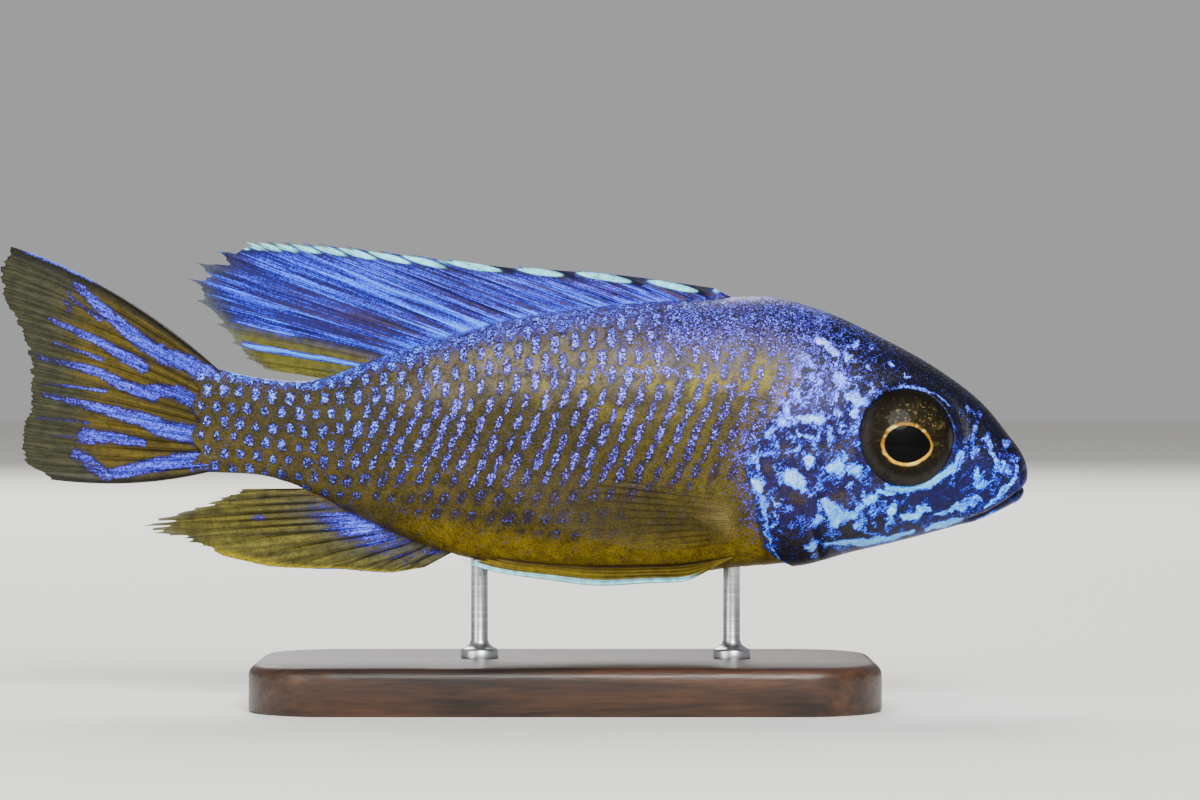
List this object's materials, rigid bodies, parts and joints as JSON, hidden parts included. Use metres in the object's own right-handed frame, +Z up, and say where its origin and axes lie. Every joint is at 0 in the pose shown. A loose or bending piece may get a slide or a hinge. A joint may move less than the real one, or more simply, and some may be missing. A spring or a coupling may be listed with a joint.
{
  "type": "peacock cichlid model",
  "caption": "Life-size model of a male peacock cichlid, swimming level on a plain display stand.",
  "frame": {"origin": "on the floor, below the middle of the model's length and of the base's width", "axes": "+X from the tail towards the snout, +Y towards the fish's left side, +Z up"},
  "size_m": [0.1103, 0.034, 0.0495],
  "materials": {
    "head_blue": "satin skin",
    "flank_gold": "satin scales",
    "fin_blue": "satin",
    "fin_gold": "satin",
    "fin_clear": "clear",
    "eye_black": "glossy",
    "stand_wood": "waxed",
    "stand_metal": "brushed"
  },
  "bodies": {
    "root": {"head": "head_blue", "torso": "flank_gold", "tail_root": "flank_gold", "eye_left": "eye_black", "eye_right": "eye_black", "dorsal_fin": "fin_blue", "tail_fin": "fin_gold", "anal_fin": "fin_gold", "pectoral_fin_left": "fin_clear", "pectoral_fin_right": "fin_clear", "pelvic_fin_left": "fin_clear", "pelvic_fin_right": "fin_clear", "stand_base": "stand_wood", "stand_rod_front": "stand_metal", "stand_rod_rear": "stand_metal"}
  },
  "joints": []
}
